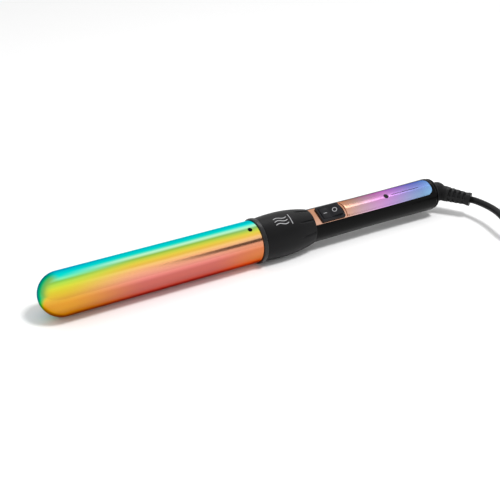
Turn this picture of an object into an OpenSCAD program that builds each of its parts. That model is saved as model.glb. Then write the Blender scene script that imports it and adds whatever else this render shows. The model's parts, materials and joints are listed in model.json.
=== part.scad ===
// Curling wand: a round heated barrel without a clamp, a flared collar, a slim
// handle with a decorative inlay and a rocker switch, and a swivelling mains cord.
// The wand lies on its side along X, barrel tip towards -X, on a surface at z = 0.
// Inside on_wand() the wand's axis is X, its top is +Z and x = 0 is the front of
// the ring where the barrel enters the handle. on_axis() is the same without the
// roll, and on_cord() has its origin on the surface below the swivel elbow.

/* [Barrel] */
// Outer diameter of the barrel
barrel_d = 32; // [26:1:34]
// Length of the barrel in front of the ring, dome included
barrel_len = 167; // [140:1:210]
// Wall of the drawn barrel tube
barrel_wall = 1.2; // [0.8:0.1:1.6]
// How far the barrel reaches into the ring
barrel_seat = 2.2; // [1.5:0.1:2.5]
// Distance from the ring to the barrel screw
barrel_screw_x = 6.8; // [5:0.1:10]
// Diameter of the hole for the barrel screw
barrel_hole_d = 3.6; // [2.8:0.1:4.5]

/* [Heater] */
// Distance from the ring to the rear end of the heater
heater_start = 42; // [36:1:50]
// Distance from the start of the dome to the heater
heater_tip_gap = 17; // [8:1:30]
// Width of the heating plates
heater_w = 14; // [10:0.5:16]
// Thickness of the ceramic heating plates
heater_t = 2.4; // [1.8:0.1:3]
// Number of ceramic heating plates
heater_count = 4; // [2:1:5]
// Thickness of each electrode strip
electrode_t = 0.4; // [0.3:0.05:0.6]
// Thickness of the insulating wrap
wrap_t = 0.3; // [0.2:0.05:0.5]

/* [Ring and collar] */
// Outer diameter of the front ring
ring_d = 34.4; // [34:0.1:38]
// Length of the front ring
ring_len = 3.5; // [3.2:0.1:6]
// Largest diameter of the collar
collar_d = 34.2; // [33.6:0.1:38]
// Length of the collar
collar_len = 44.8; // [40:0.2:56]
// Distance from the collar's front to its widest place
collar_peak = 17.5; // [12:0.5:22]
// How much thinner the collar's front edge is than its widest place, on the radius
collar_front_drop = 1; // [0.5:0.1:2]
// How far the collar's rear edge stands above the handle
collar_lip = 0.55; // [0.3:0.05:1.2]
// Number of flutes around the rear of the collar
flute_count = 9; // [5:1:12]
// Length of each flute
flute_len = 12; // [8:0.5:14]
// Width of each flute
flute_w = 2.4; // [1.5:0.1:3]

/* [Handle] */
// Length of the handle behind the collar, end cap included
handle_len = 118.7; // [105:0.1:160]
// Diameter of the handle at its two ends
handle_d = 25.8; // [25.4:0.1:28]
// How much thinner the waist is than the ends, on the radius
waist = 0.45; // [0.1:0.05:0.8]
// Wall of the handle shells
shell_wall = 2.6; // [2.2:0.1:3]
// Rounding of the shells' rear edge
end_round = 2.6; // [1:0.1:3]
// Thickness of the end cap's visible ring
cap_ring = 1.7; // [1.2:0.1:3]

/* [Inlay] */
// Width of the inlay plate
inlay_w = 15.6; // [15:0.1:17]
// Thickness of the inlay plate
inlay_t = 0.9; // [0.6:0.1:1.2]
// How far the inlay plate stands proud of the handle
inlay_proud = 0.15; // [0:0.05:0.4]
// Distance from the handle's end to the inlay's rear edge
inlay_end_gap = 6; // [4:0.5:12]
// Corner radius of the inlay's rear edge
inlay_corner = 5; // [2:0.5:7]
// Length of the flat pocket that holds the switch
pocket_len = 29.5; // [28:0.5:36]
// Height of the pocket's floor above the axis
pocket_z = 10.2; // [9.8:0.1:10.6]

/* [Switch] */
// Length of the switch bezel
bezel_l = 20.8; // [20.6:0.1:22]
// Width of the switch bezel
bezel_w = 14; // [13:0.1:14.6]
// Height of the bezel above the pocket's floor
bezel_h = 1.4; // [1:0.1:2]
// Distance from the collar's rear edge to the bezel
bezel_gap = 6.6; // [4:0.1:7]
// Length of the rocker
rocker_l = 17.2; // [16:0.1:17.4]
// Width of the rocker
rocker_w = 9.8; // [8:0.1:10.4]
// Tilt of the rocker to each side of its middle
rocker_tilt = 11; // [8:0.5:13]
// Tilt of the contact blade to each side of its middle
blade_tilt = 8; // [5:0.5:8]

/* [Cord] */
// Diameter of the round mains cord
cord_d = 5.5; // [5:0.1:6.6]
// Diameter of the swivel neck at the handle's end
neck_d = 15.8; // [12:0.2:17]
// Distance from the handle's end to the swivel elbow's centre
elbow_out = 6.8; // [6:0.1:10]
// Angle between the wand's axis and the strain relief
elbow_turn = 54; // [30:1:60]
// Length of the strain relief outside the elbow
relief_len = 20; // [20:0.2:30]
// How far the strain relief droops below the level of the axis
elbow_droop = 4; // [0:0.5:8]
// Diameter of the strain relief where it leaves the elbow
relief_d1 = 12.4; // [10:0.1:14]
// Diameter of the strain relief at its far end
relief_d2 = 9.6; // [8:0.1:10]
// Width of the plug's body
plug_w = 22; // [18:0.5:24]
// Thickness of the plug's body
plug_t = 13; // [11:0.5:15]

/* [Pose] */
// How far the wand is rolled about its own axis as it lies
roll = 26; // [0:1:40]

/* [Fits] */
// Gap between parts that are fitted together and do not move
fit_gap = 0.08; // [0.02:0.01:0.15]
// Radial running clearance of the pivots and of the swivel
run_gap = 0.06; // [0.03:0.01:0.09]

/* [Hidden] */
$fn = 64;
cutter = 60;             // larger than any section of the wand

// Barrel, ring and collar: radii, and stations along the axis
barrel_r = barrel_d / 2;
barrel_bore_r = barrel_r - barrel_wall;
dome_x = barrel_r - barrel_len;
seat_step = 0.2;                  // the barrel is turned down where the ring holds it
ring_r = ring_d / 2;
collar_r = collar_d / 2;
collar_front = ring_len;
collar_rear = collar_front + collar_len;
peak_x = collar_front + collar_peak;
collar_front_arc = (pow(collar_peak, 2) / collar_front_drop + collar_front_drop) / 2;
collar_rear_drop = collar_r - handle_d / 2 - collar_lip;
collar_rear_arc = (pow(collar_rear - peak_x, 2) / collar_rear_drop + collar_rear_drop) / 2;
rim_round = 0.8;
flute_depth = 0.5;
flute_x = collar_rear - 9.5;

// Barrel holder: a sleeve in the barrel, a neck in the collar, a spigot in the handle
holder_r = barrel_bore_r - fit_gap;
holder_front = -26;
holder_wall = 4.2;
spigot_len = 14;
tenon_front = collar_front + 22.6;
tenon_r = 11.7;
neck_r = max(holder_r - 1.6, tenon_r + 0.3);
key_x = tenon_front + 5;          // rib of the shells in the spigot's groove
key_w = 2.2;
key_depth = 1;

// Heater
heater_rear = -heater_start;
heater_front = dome_x + heater_tip_gap;
heater_len = heater_rear - heater_front;
plate_gap = 0.6;
plate_len = (heater_len - plate_gap) / heater_count - plate_gap;
electrode_z = heater_t / 2;
wrap_z = electrode_z + electrode_t;
stack_z = wrap_z + wrap_t;
tail_len = 8;
spreader_r = barrel_bore_r - 0.1;
spring_r = stack_z - fit_gap;
spring_y = heater_w / 2 + wrap_t + spring_r + 1;
sensor_r = 1.5;
sensor_z = spreader_r * 0.645;
fuse_r = 2;
sensor_bore = fuse_r + 0.3;

// Handle
handle_r = handle_d / 2;
handle_end = collar_rear + handle_len;
shell_end = handle_end - cap_ring;
shell_bore_r = handle_r - shell_wall;
spigot_r = shell_bore_r - fit_gap;
axis_h = max(ring_r, collar_r);
waist_x = collar_rear + handle_len / 2;
waist_flat = 12;                  // half the length of the waist's straight middle

// Inlay, pocket and switch
inlay_end = handle_end - inlay_end_gap;
pocket_end = collar_rear + pocket_len;
pocket_roof = 1.6;                // shell left under the pocket's plate
pocket_under = pocket_z - inlay_t - fit_gap;
bezel_x = collar_rear + bezel_gap + bezel_l / 2;
bezel_top = pocket_z + bezel_h;
bezel_round = 1;
housing_l = bezel_l - 1.2;
housing_w = bezel_w - 1.8;
housing_wall = 0.9;
housing_floor = -1.5;
cavity_w = rocker_w + 0.4;
rocker_r = rocker_l / 2;
rocker_z = pocket_z - 1.2;        // height of the rocker's pivot
rocker_dip = 2.75;                // pivot to the middle of the rocker's top
rocker_skirt = 2.2;
pivot_r = 1.3;
pivot_reach = 0.8;
mark_depth = 0.3;
mark_proud = 0.02;
mark_line = 0.45;
mark_x = 4.1;
plunger_r = 1.2;
plunger_tip = 6.1;                // pivot to the plunger's tip
plunger_head = 3;
spring_wire = 0.2;
spring_turns = 3.5;
blade_z = 2.3;                    // height of the contact blade's rocking axis
blade_t = 0.5;
blade_l = 11;
blade_w = 4;
contact_x = 4.3;
contact_h = 0.5;

// Screws that hold the shells together, and the circuit board between their bosses
boss_r = 4;
screw_x = [pocket_end + 4.5, shell_end - 23];
screw_head_r = 2.6;
screw_head_h = 2;
screw_r = 1.4;
screw_seat_z = -handle_r + 4;
screw_tip_z = 5.5;
board_x0 = screw_x[0] + boss_r + 1.5;
board_x1 = screw_x[1] - boss_r - 1.5;
board_w = 15;
board_t = 1.6;
board_z = -4;
board_top = board_z + board_t;
board_screw_x = [board_x0 + 3.5, board_x1 - 3.5];
board_screw_r = 1;
post_r = 2.4;

// Swivel
rotor_r = 4.2;
wire_bore_r = 2.4;
slip_r = rotor_r + 1.1;
slip_w = 2;
slip_x = [shell_end - 12, shell_end - 8];
carrier_front = shell_end - 17;
carrier_rear = shell_end - 4.5;
carrier_wall = 1.5;
cap_wall = 1.4;
cap_r = handle_r - 0.7;
cap_round = min(1, cap_ring / 2);
clip_t = 0.9;
clip_x = shell_end - cap_wall - clip_t - 0.1;
clip_r = rotor_r + 1.6;
elbow_x = handle_end + elbow_out;
elbow_r = neck_d / 2;
rotor_end = elbow_x - 1.5;
brush_z = slip_r + run_gap + 0.04;
brush_t = 0.4;
stud_y = 1.5;                     // studs on the brushes that take the mains leads
stud_h = 0.9;

// The wand's own pieces reach from the barrel's tip to the rotor's end, and their
// middle is at x = 0
ring_x = (barrel_len - rotor_end) / 2;

// Strain relief
stub_len = elbow_r + 0.2;
relief_slots = 4;
relief_slot_w = 1.9;
relief_pitch = 3.9;
relief_slot_depth = 1.3;
relief_spine = 1.8;
flange_t = 2.6;
flange_r = relief_d2 / 2 + 0.6;

// Cord: each point is [x, y, height], x and y counted from the swivel elbow's centre.
// The cord leaves the strain relief level, comes down to the surface and is coiled up.
cord_r = cord_d / 2;
relief_dir = [
    cos(elbow_turn) * cos(elbow_droop), -sin(elbow_turn) * cos(elbow_droop),
    -sin(elbow_droop)
];
relief_end = [0, 0, axis_h] + (stub_len + relief_len) * relief_dir;
coil_c = [78.4, -60.1];
coil_rows = 4;                    // turns side by side
coil_layers = 2;                  // turns on top of each other
coil_out = 43;                    // outer radius of the coil
coil_in = coil_out - coil_rows * cord_d;
tie_t = 0.6;
coil_top = tie_t + coil_layers * cord_d;
route = [
    [17.8, -26, 15.4], [18.8, -31, 15.5], [19.2, -37, 15.7], [19.2, -43, 15.8],
    [18.4, -50, 15.9], [16.8, -57, 15.8], [14.8, -64.5, 15.2], [13.2, -72, 14],
    [12.8, -79.5, 12], [14.7, -87, 9.6], [19.5, -93.6, 7.2], [26.9, -98.1, 5.2],
    [35.2, -99.9, 4], [46.2, -100.35, 3.4], [62.2, -100.35, 3.4]
];
tail = [
    [106.5, -93.5, 7.2], [114, -87.1, 6.2], [119.6, -79.3, 5], [123, -69.9, 4.2],
    [124.4, -60, 4.6], [124.6, -53, 6.3], [124.6, -50, 6.5], [124.6, -48, 6.5]
];
tube_sides = 10;

// Plug
plug_at = [124.6, -48, plug_t / 2];
plug_relief_len = 20;
plug_len = 28;
blade_gap = 12.7;
blade_size = [1.5, 17, 6.35];
plug_round = 3;

// ---------- helpers ----------
module on_wand() translate([ring_x, 0, axis_h]) rotate([roll, 0, 0]) children();
module on_axis() translate([ring_x, 0, axis_h]) children();
module on_cord() translate([ring_x + elbow_x, 0, 0]) children();

// A solid turned about the wand's axis: the outline's x is the radius and its y
// is the station along the axis.
module turned() rotate([0, 90, 0]) rotate_extrude($fn = 96) children();
module rod(r, x0, x1) translate([x0, 0, 0]) rotate([0, 90, 0]) cylinder(r = r, h = x1 - x0);
module pipe(r, bore, x0, x1) difference() {
    rod(r, x0, x1);
    rod(bore, x0 - 1, x1 + 1);
}
module crossrod(r, half) rotate([90, 0, 0]) cylinder(r = r, h = 2 * half, center = true);
module block(x0, x1, w, z0, z1) translate([x0, -w / 2, z0]) cube([x1 - x0, w, z1 - z0]);
module upright(r, x, z0, z1) translate([x, 0, z0]) cylinder(r = r, h = z1 - z0);
module upper_half() block(-cutter * 5, cutter * 5, cutter, 0, cutter);
module lower_half() block(-cutter * 5, cutter * 5, cutter, -cutter, 0);
module both_sides() {
    children();
    mirror([0, 1, 0]) children();
}

// A rectangle with two or four round corners of radius c, from (0, 0) to (l, w)
module round_rect(l, w, c) {
    translate([c, 0]) square([l - 2 * c, w]);
    translate([0, c]) square([l, w - 2 * c]);
    for (x = [c, l - c], y = [c, w - c]) translate([x, y]) circle(c);
}

// Rings of a tube swept along points that never turn straight up
function unit(v) = v / norm(v);
function heading(p, i) =
    unit(p[min(i + 1, len(p) - 1)] - p[max(i - 1, 0)]);
function across(t) = unit(cross(t, [0, 0, 1]));
function ring_points(c, t, r, n) =
    let (a = across(t), b = cross(a, t))
    [for (k = [0:n - 1]) c + r * (cos(360 * k / n) * a + sin(360 * k / n) * b)];

module tube(p, r, n = 8) {
    points = [for (i = [0:len(p) - 1]) each ring_points(p[i], heading(p, i), r, n)];
    last = n * (len(p) - 1);
    sides = [for (i = [0:len(p) - 2], k = [0:n - 1])
        let (a = i * n + k, b = i * n + (k + 1) % n)
        each [[a, b, b + n], [a, b + n, a + n]]];
    caps = [[for (k = [n - 1:-1:0]) k], [for (k = [0:n - 1]) last + k]];
    polyhedron(points, concat(sides, caps), convexity = 6);
}

// ---------- barrel and heater ----------
module barrel_outline(r, rear) {
    translate([0, dome_x]) intersection() {
        circle(r, $fn = 128);
        translate([0, -r]) square(r);
    }
    translate([0, dome_x]) square([r, rear - dome_x]);
}

module barrel() color("darkorange") on_wand() difference() {
    turned() difference() {
        union() {
            barrel_outline(barrel_r, 0);
            barrel_outline(barrel_r - seat_step, barrel_seat);
        }
        barrel_outline(barrel_bore_r, barrel_seat + 1);
    }
    upright(barrel_hole_d / 2, -barrel_screw_x, barrel_bore_r - 2, barrel_r + 1);
}

module barrel_screw() color("#202020") on_wand() {
    upright(barrel_hole_d / 2 - fit_gap, -barrel_screw_x, holder_r, barrel_r - 0.5);
    upright(screw_r - 0.3, -barrel_screw_x, holder_r - 3.5, holder_r);
}

// One half of the aluminium body that carries the heat to the barrel
module half_spreader() difference() {
    rod(spreader_r, heater_front, heater_rear);
    block(heater_front - 1, heater_rear + 1, cutter, -cutter, stack_z);
    both_sides() translate([0, spreader_r / 2, sensor_z - sensor_bore])
        rod(sensor_bore, heater_front - 1, heater_rear + 1);
    translate([0, 0, sensor_z]) rod(sensor_bore, heater_front - 1, heater_rear + 1);
}

module heat_spreader_upper() color("silver") on_wand() half_spreader();
module heat_spreader_lower() color("silver") on_wand() mirror([0, 0, 1]) half_spreader();

module heating_plates() color("dimgray") on_wand()
    for (k = [0:heater_count - 1])
        let (x = heater_front + plate_gap + k * (plate_len + plate_gap))
            block(x, x + plate_len, heater_w, -electrode_z, electrode_z);

module heater_electrodes() color("gold") on_wand() for (side = [0, 1])
    mirror([0, 0, side]) {
        block(heater_front + 0.4, heater_rear - 0.4, heater_w - 1, electrode_z, wrap_z);
        translate([0, 3, 0]) block(heater_rear - 1, heater_rear + tail_len, 3, electrode_z, wrap_z);
    }

module heater_wrap() color("orange") on_wand() difference() {
    block(heater_front, heater_rear, heater_w + 2 * wrap_t, -stack_z, stack_z);
    block(heater_front - 1, heater_rear + 1, heater_w, -wrap_z, wrap_z);
}

module spreader_springs() color("lightsteelblue") on_wand() both_sides()
    translate([0, spring_y, 0]) difference() {
        pipe(spring_r, spring_r - 0.35, heater_front + 6, heater_rear - 6);
        translate([0, spring_r, 0])
            block(heater_front, heater_rear, spring_r, -spring_r / 2, spring_r / 2);
    }

module thermistor() color("black") on_wand() translate([0, 0, sensor_z]) {
    rod(sensor_r, heater_rear - 16, heater_rear + 5);
    translate([heater_rear - 16, 0, 0]) sphere(sensor_r);
}

module thermal_fuse() color("lightgray") on_wand() translate([0, 0, -sensor_z]) {
    rod(fuse_r, heater_rear - 20, heater_rear - 9);
    rod(0.5, heater_rear - 27, heater_rear + 4);
}

module barrel_holder() color("ivory") on_wand() difference() {
    union() {
        rod(holder_r, holder_front, barrel_seat);
        rod(neck_r, barrel_seat - 1, tenon_front);
        rod(spigot_r, tenon_front - 1, tenon_front + spigot_len);
    }
    rod(holder_r - holder_wall, holder_front - 1, barrel_seat - 2);
    rod(spigot_r - 2.2, barrel_seat - 3, tenon_front + spigot_len + 1);
    pipe(cutter, spigot_r - key_depth, key_x, key_x + key_w);
    upright(screw_r - 0.3 + fit_gap, -barrel_screw_x, 5, barrel_r);
}

// ---------- ring and collar ----------
module front_ring() color("#151515") on_wand() turned() difference() {
    translate([ring_r - 8, 0]) round_rect(8, ring_len, rim_round);
    translate([ring_r - 9, -1]) square([neck_r + fit_gap - ring_r + 9, ring_len + 2]);
    square([barrel_r - seat_step + fit_gap, barrel_seat]);
}

function collar_at(x) =
    collar_r - collar_rear_arc + sqrt(pow(collar_rear_arc, 2) - pow(x - peak_x, 2));

module collar_outline() intersection() {
    translate([0, collar_front]) square([collar_r, collar_len]);
    union() {
        intersection() {
            translate([collar_r - collar_front_arc, peak_x]) circle(collar_front_arc, $fn = 256);
            square([collar_r, peak_x]);
        }
        intersection() {
            translate([collar_r - collar_rear_arc, peak_x]) circle(collar_rear_arc, $fn = 256);
            translate([0, peak_x]) square([collar_r, cutter]);
        }
    }
}

module flute() {
    slope = asin((flute_x - peak_x) / collar_rear_arc);
    translate([flute_x, 0, collar_at(flute_x)]) rotate([0, slope, 0])
        translate([-flute_len / 2, 0, flute_w - flute_depth]) {
            rod(flute_w, 0, flute_len);
            sphere(flute_w);
            translate([flute_len, 0, 0]) sphere(flute_w);
        }
}

module front_collar() color("#262626") on_wand() difference() {
    turned() difference() {
        collar_outline();
        square([neck_r + fit_gap, tenon_front]);
        square([tenon_r + fit_gap, cutter * 2]);
    }
    for (k = [0:flute_count - 1]) rotate([360 * (k + 0.5) / flute_count, 0, 0]) flute();
    rotate([180, 0, 0]) {
        upright(screw_head_r + 0.1, key_x + 7, tenon_r + 1.4, cutter);
        upright(screw_r + 0.1, key_x + 7, 0, cutter);
    }
}

module collar_screw() color("#303030") on_wand() rotate([180, 0, 0]) {
    upright(screw_head_r, key_x + 7, tenon_r + 1.4, tenon_r + 2.8);
    upright(screw_r, key_x + 7, tenon_r - 1.2, tenon_r + 1.5);
}

// ---------- handle ----------
module handle_outline(grow) polygon([
    [0, collar_rear], [handle_r + grow, collar_rear],
    [handle_r - waist + grow, waist_x - waist_flat], [handle_r - waist + grow, waist_x + waist_flat],
    [handle_r + grow, handle_end], [0, handle_end]
]);

module shell_outline() {
    difference() {
        handle_outline(0);
        translate([0, shell_end]) square([cutter, cutter]);
        difference() {
            translate([handle_r - end_round, shell_end - end_round]) square(cutter);
            translate([handle_r - end_round, shell_end - end_round]) circle(end_round);
        }
    }
    translate([0, tenon_front]) square([tenon_r, collar_rear - tenon_front]);
}

module shell_hollow() difference() {
    rod(shell_bore_r, tenon_front - 1, shell_end + 1);
    pipe(cutter, spigot_r - key_depth + 2 * fit_gap, key_x + fit_gap, key_x + key_w - fit_gap);
    block(collar_rear, pocket_end + 2.5, cutter, pocket_under - pocket_roof, cutter);
}

module inlay_plan(grow) translate([pocket_end - 1, -inlay_w / 2 - grow])
    difference() {
        translate([-inlay_corner, 0])
            round_rect(inlay_end - pocket_end + 1 + inlay_corner + grow, inlay_w + 2 * grow, inlay_corner);
        translate([-2 * inlay_corner, -1]) square([2 * inlay_corner, inlay_w * 2]);
    }

module inlay_pocket() {
    difference() {
        linear_extrude(cutter) inlay_plan(fit_gap);
        turned() handle_outline(inlay_proud - inlay_t - fit_gap);
    }
    block(collar_rear - 1, pocket_end + inlay_t + fit_gap, inlay_w + 2 * fit_gap, pocket_under, cutter);
}

module switch_opening()
    block(bezel_x - housing_l / 2 - fit_gap, bezel_x + housing_l / 2 + fit_gap,
        housing_w + 2 * fit_gap, 1, cutter);

module shell_solid() turned() shell_outline();

module handle_upper() color("#161616") on_wand() difference() {
    intersection() {
        shell_solid();
        upper_half();
        union() {
            difference() {
                shell_solid();
                shell_hollow();
            }
            for (x = screw_x) upright(boss_r, x, 0, handle_r);
        }
    }
    inlay_pocket();
    switch_opening();
    for (x = screw_x) upright(screw_r + fit_gap, x, -1, screw_tip_z + 0.3);
}

module handle_lower() color("#161616") on_wand() difference() {
    intersection() {
        shell_solid();
        lower_half();
        union() {
            difference() {
                shell_solid();
                shell_hollow();
            }
            for (x = screw_x) upright(boss_r, x, -handle_r, 0);
            for (x = board_screw_x) upright(post_r, x, -handle_r, board_z);
        }
    }
    for (x = screw_x) {
        upright(screw_r + fit_gap, x, -handle_r - 1, 1);
        upright(screw_head_r + 0.2, x, -handle_r - 1, screw_seat_z);
    }
    for (x = board_screw_x) upright(board_screw_r + fit_gap, x, board_z - 4.5, 0);
    rotate([180, 0, 0]) upright(screw_r + fit_gap, key_x + 7, 0, cutter);
}

module handle_screws() color("silver") on_wand() for (x = screw_x) {
    upright(screw_r, x, screw_seat_z - 0.1, screw_tip_z);
    upright(screw_head_r, x, screw_seat_z - screw_head_h, screw_seat_z);
}

module inlay_plate() color("mediumpurple") on_wand() difference() {
    union() {
        intersection() {
            linear_extrude(cutter) inlay_plan(0);
            turned() difference() {
                handle_outline(inlay_proud);
                handle_outline(inlay_proud - inlay_t);
            }
            block(pocket_end, cutter * 4, cutter, 0, cutter);
        }
        block(collar_rear, pocket_end + inlay_t, inlay_w, pocket_z - inlay_t, pocket_z);
        intersection() {
            block(pocket_end, pocket_end + inlay_t, inlay_w, pocket_z - inlay_t, cutter);
            turned() handle_outline(inlay_proud);
        }
    }
    switch_opening();
}

// ---------- switch ----------
module switch_housing() color("#1b1b1e") on_wand() translate([bezel_x, 0, 0]) difference() {
    union() {
        translate([-bezel_l / 2, -bezel_w / 2, pocket_z])
            linear_extrude(bezel_h) round_rect(bezel_l, bezel_w, bezel_round);
        block(-housing_l / 2, housing_l / 2, housing_w, housing_floor, pocket_z + 0.5);
    }
    block(-rocker_r - 0.25, rocker_r + 0.25, cavity_w, housing_floor + housing_wall, cutter);
    translate([0, 0, rocker_z]) crossrod(pivot_r + run_gap, cavity_w / 2 + pivot_reach);
    for (x = [0, contact_x])
        block(x - 0.4 - fit_gap, x + 0.4 + fit_gap, 3 + 2 * fit_gap, housing_floor - 1, 0);
}

module on_rocker(angle = -rocker_tilt)
    translate([bezel_x, 0, rocker_z]) rotate([0, angle, 0]) children();

// Places a mark on one of the two slanting faces of the rocker
module on_face(side) translate([0, 0, rocker_dip]) rotate([0, -side * rocker_tilt, 0])
    translate([side * mark_x, 0, 0]) children();

module marks(proud) {
    on_face(-1) block(-1.5, 1.5, mark_line, -mark_depth, proud);
    on_face(1) translate([0, 0, -mark_depth]) linear_extrude(mark_depth + proud) difference() {
        circle(1.9);
        circle(1.9 - mark_line);
    }
}

module switch_rocker() color("#242426") on_wand() on_rocker() difference() {
    union() {
        difference() {
            crossrod(rocker_r, rocker_w / 2);
            block(-cutter, cutter, cutter, -cutter, -rocker_skirt);
            translate([0, 0, rocker_dip]) rotate([0, rocker_tilt, 0])
                block(-cutter, 0, cutter, 0, cutter);
            translate([0, 0, rocker_dip]) rotate([0, -rocker_tilt, 0])
                block(0, cutter, cutter, 0, cutter);
            block(-1, 1, cutter, rocker_dip, cutter);
        }
        crossrod(pivot_r, cavity_w / 2 + pivot_reach - 0.1);
        upright(plunger_r + 1, 0, -rocker_skirt - 1.2, 0);
    }
    upright(plunger_r + fit_gap, 0, -cutter, 0.6);
    marks(1);
}

module rocker_marks() color("lightgray") on_wand() on_rocker() marks(mark_proud);

module switch_plunger() color("peru") on_wand() on_rocker() {
    upright(plunger_r, 0, plunger_r - plunger_tip, plunger_head - plunger_tip);
    translate([0, 0, plunger_r - plunger_tip]) sphere(plunger_r);
}

module plunger_spring() color("silver") on_wand() on_rocker() {
    low = plunger_head - plunger_tip + spring_wire;
    rise = 0.6 - spring_wire - low;
    steps = 14 * spring_turns;
    tube([for (k = [0:steps])
        let (a = 360 * spring_turns * k / steps)
        [(plunger_r - 0.3) * cos(a), (plunger_r - 0.3) * sin(a), low + rise * k / steps]],
        spring_wire, 6);
}

module contact_blade() color("goldenrod") on_wand()
    translate([bezel_x, 0, blade_z]) rotate([0, blade_tilt, 0]) {
        block(-blade_l / 2, blade_l / 2, blade_w, -blade_t / 2, blade_t / 2);
        upright(1, contact_x, -blade_t / 2 - contact_h, 0);
    }

module switch_terminals() color("goldenrod") on_wand() translate([bezel_x, 0, 0]) {
    rest = blade_z - contact_x * sin(blade_tilt) - blade_t / 2 - contact_h - 0.35;
    block(-0.4, 0.4, 3, housing_floor - 4.5, blade_z - blade_t / 2 - 0.1);
    block(contact_x - 0.4, contact_x + 0.4, 3, housing_floor - 4.5, rest);
}

// ---------- electronics ----------
module circuit_board() color("seagreen") on_wand() difference() {
    block(board_x0, board_x1, board_w, board_z, board_top);
    for (x = board_screw_x) upright(board_screw_r + 0.2, x, board_z - 1, board_top + 1);
}

module board_screws() color("silver") on_wand() for (x = board_screw_x) {
    upright(board_screw_r, x, board_z - 4, board_top + 0.1);
    upright(board_screw_r + 0.8, x, board_top, board_top + 1);
}

module triac() color("#303030") on_wand() translate([board_x0 + 8, 0, board_top]) {
    block(0, 9, 10, 0.6, 5);
    difference() {
        block(-0.5, 9, 10, 0, 0.6);
        upright(1, 4, -1, 0.3);
    }
}

module film_capacitor() color("khaki") on_wand() translate([board_x0 + 19, 0, board_top])
    block(0, 5.5, 12, 0, 9);

module resistors() color("tan") on_wand() for (k = [0:1])
    translate([board_x0 + 27 + 3 * k, 0, board_top + 1.1]) crossrod(1.1, 3.2);

module control_chip() color("#1c1c1c") on_wand() translate([board_x0 + 20, 0, board_z])
    block(0, 9.5, 6.4, -2.6, 0);

module heater_leads() color("firebrick") on_wand() for (side = [-1, 1])
    tube([[heater_rear + tail_len, 3, side * (electrode_z + electrode_t / 2)],
        [heater_rear + tail_len + 2, 3, side * 1.5], [-20, 3.6, 1.8 * side],
        [-6, 4.4, 1.6 * side - 1], [16, 5 + 0.5 * side, 1.3 * side - 3],
        [bezel_x - 23, 4.9 + 0.6 * side, 1.2 * side - 3.9],
        [bezel_x - 3, 6.1 + 0.7 * side, 1.2 * side - 4.8],
        [board_x0 - 4, 6.1 + 0.7 * side, 1.2 * side - 3], [board_x0, 5.2 + side, board_top + 1.2],
        [board_x0 + 4, 5 + 1.2 * side, board_top + 1]], 0.9);

module sensor_leads() color("white") on_wand() for (side = [-1, 1])
    tube([[heater_rear + 5, 0.7 * side, sensor_z], [heater_rear + 12, side, sensor_z - 1.5],
        [-14, 1.2 * side, 5.6], [20, side - 1, 5], [bezel_x - 25, -3, 4 + 0.7 * side],
        [bezel_x - 13, -7.3, 4 + 0.7 * side], [bezel_x + 9, -7.4, 4 + 0.7 * side],
        [board_x0 - 4, -6.4 + side, 3.4],
        [board_x0 + 4, -5 + side, 0], [board_x0 + 7, -5 + side, board_top + 0.6]], 0.5);

module mains_leads() color("navy") on_wand() {
    lift = brush_z + stud_h + 0.8;
    tube([[slip_x[1], stud_y, lift], [slip_x[0] - 1.3, 2.4, lift],
        [carrier_front + 2.2, 4.8, 5.1], [carrier_front - 2, 5, 4.8],
        [board_x1, 5, 1.2], [board_x1 - 4, 5, board_top + 0.9],
        [board_x1 - 8, 5, board_top + 0.8]], 0.8);
    tube([[slip_x[0], -stud_y, lift], [slip_x[0] - 1.9, -2.9, lift],
        [slip_x[0] - 2.5, -3.9, lift - 1],
        [carrier_front + 1.8, -4.9, 5], [carrier_front - 2, -5.4, 4.4], [board_x1, -8, 2.4],
        [board_x0 + 14, -8.4, 1.6], [board_x0 + 2, -8.6, -0.4], [screw_x[0], -8, -2.4],
        [bezel_x + 9, -6.4, -4.8], [bezel_x + 2, -4.8, -5.4], [bezel_x, -3.4, -5.2],
        [bezel_x, -1.6, -5]], 0.8);
    tube([[bezel_x + contact_x, -1.6, -5], [bezel_x + contact_x, -2.6, -5.2],
        [bezel_x + contact_x + 3, -3.8, -5.6], [screw_x[0] - 2, -5.4, -5],
        [board_x0 - 2.4, -5.8, -1.8], [board_x0 + 3, -5.8, board_top + 1]], 0.8);
}

// ---------- swivel ----------
module end_cap() color("#121212") on_wand() difference() {
    union() {
        turned() {
            translate([0, shell_end]) square([cap_r - cap_round, cap_ring]);
            translate([0, shell_end]) square([cap_r, cap_ring - cap_round]);
            translate([cap_r - cap_round, handle_end - cap_round]) circle(cap_round);
        }
        rod(spigot_r, carrier_rear, shell_end + 0.5);
    }
    rod(spigot_r - 1.6, carrier_rear - 1, shell_end - cap_wall);
    rod(rotor_r + run_gap, carrier_rear - 1, handle_end + 1);
}

module brush_shape(x, grow) block(x - 0.9 - grow, x + 0.9 + grow, 15.6 + 2 * grow,
    brush_z - grow, brush_z + brush_t + grow);

module brush_carrier() color("#3a3a3a") on_wand() difference() {
    rod(spigot_r, carrier_front, carrier_rear);
    rod(spigot_r - 2, carrier_front + carrier_wall, carrier_rear + 1);
    rod(rotor_r + run_gap, carrier_front - 1, carrier_rear);
    for (x = slip_x) brush_shape(x, fit_gap);
    both_sides() translate([0, 5, 5]) rod(1.8, carrier_front - 1, carrier_front + 3);
}

module brush_springs() color("goldenrod") on_wand() for (x = slip_x) {
    brush_shape(x, 0);
    translate([0, x == slip_x[0] ? -stud_y : stud_y, 0]) upright(0.8, x, brush_z, brush_z + stud_h);
}

module swivel_rotor() color("#2c2c2c") on_wand() difference() {
    rod(rotor_r, carrier_front, rotor_end);
    rod(wire_bore_r, carrier_front - 1, rotor_end + 1);
    pipe(cutter, rotor_r - 0.7, clip_x - fit_gap, clip_x + clip_t + fit_gap);
}

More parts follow.
